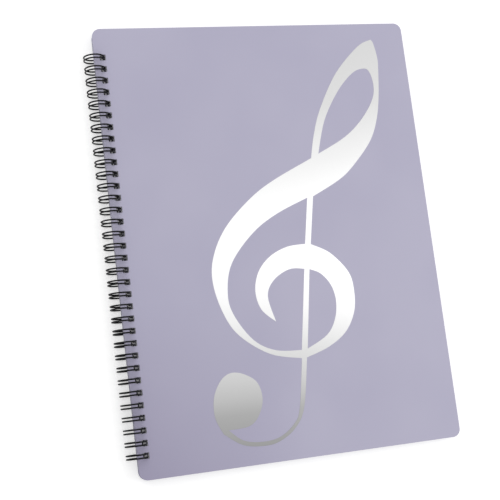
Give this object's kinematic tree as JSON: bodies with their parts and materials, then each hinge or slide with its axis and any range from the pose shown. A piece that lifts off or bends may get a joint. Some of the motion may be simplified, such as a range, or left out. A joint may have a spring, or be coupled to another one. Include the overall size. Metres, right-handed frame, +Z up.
{
  "type": "music folder",
  "caption": "Music folder with plastic covers and clear pocket leaves on a black twin-loop wire binding, and a silver treble clef on the front cover.",
  "frame": {"origin": "under the middle of the closed folder, on the surface that it lies on", "axes": "+Z up out of the front cover, +Y to the head of the cover, +X from the wire binding to the fore edge"},
  "size_m": [0.2476, 0.317, 0.0151],
  "materials": {
    "cover": "lavender polypropylene sheet, fine matte emboss",
    "foil": "silver foil print, grey at head and foot, near white in the middle",
    "wire": "black coated steel wire, semi-gloss",
    "leaves": "clear polypropylene pockets, milky in the stack"
  },
  "bodies": {
    "book": {"wire_binding": "wire", "pocket_leaves": "leaves"},
    "front": {"front_cover": "cover", "clef_foil": "foil"},
    "back": {"back_cover": "cover"}
  },
  "joints": [
    {"name": "front_cover_turn", "type": "hinge", "parent": "book", "child": "front", "pos_m": [-0.11622, 0, 0.00755], "axis": [0, -1, 0], "range_deg": [0, 180]},
    {"name": "back_cover_turn", "type": "hinge", "parent": "book", "child": "back", "pos_m": [-0.11622, 0, 0.00755], "axis": [0, 1, 0], "range_deg": [0, 180]}
  ]
}
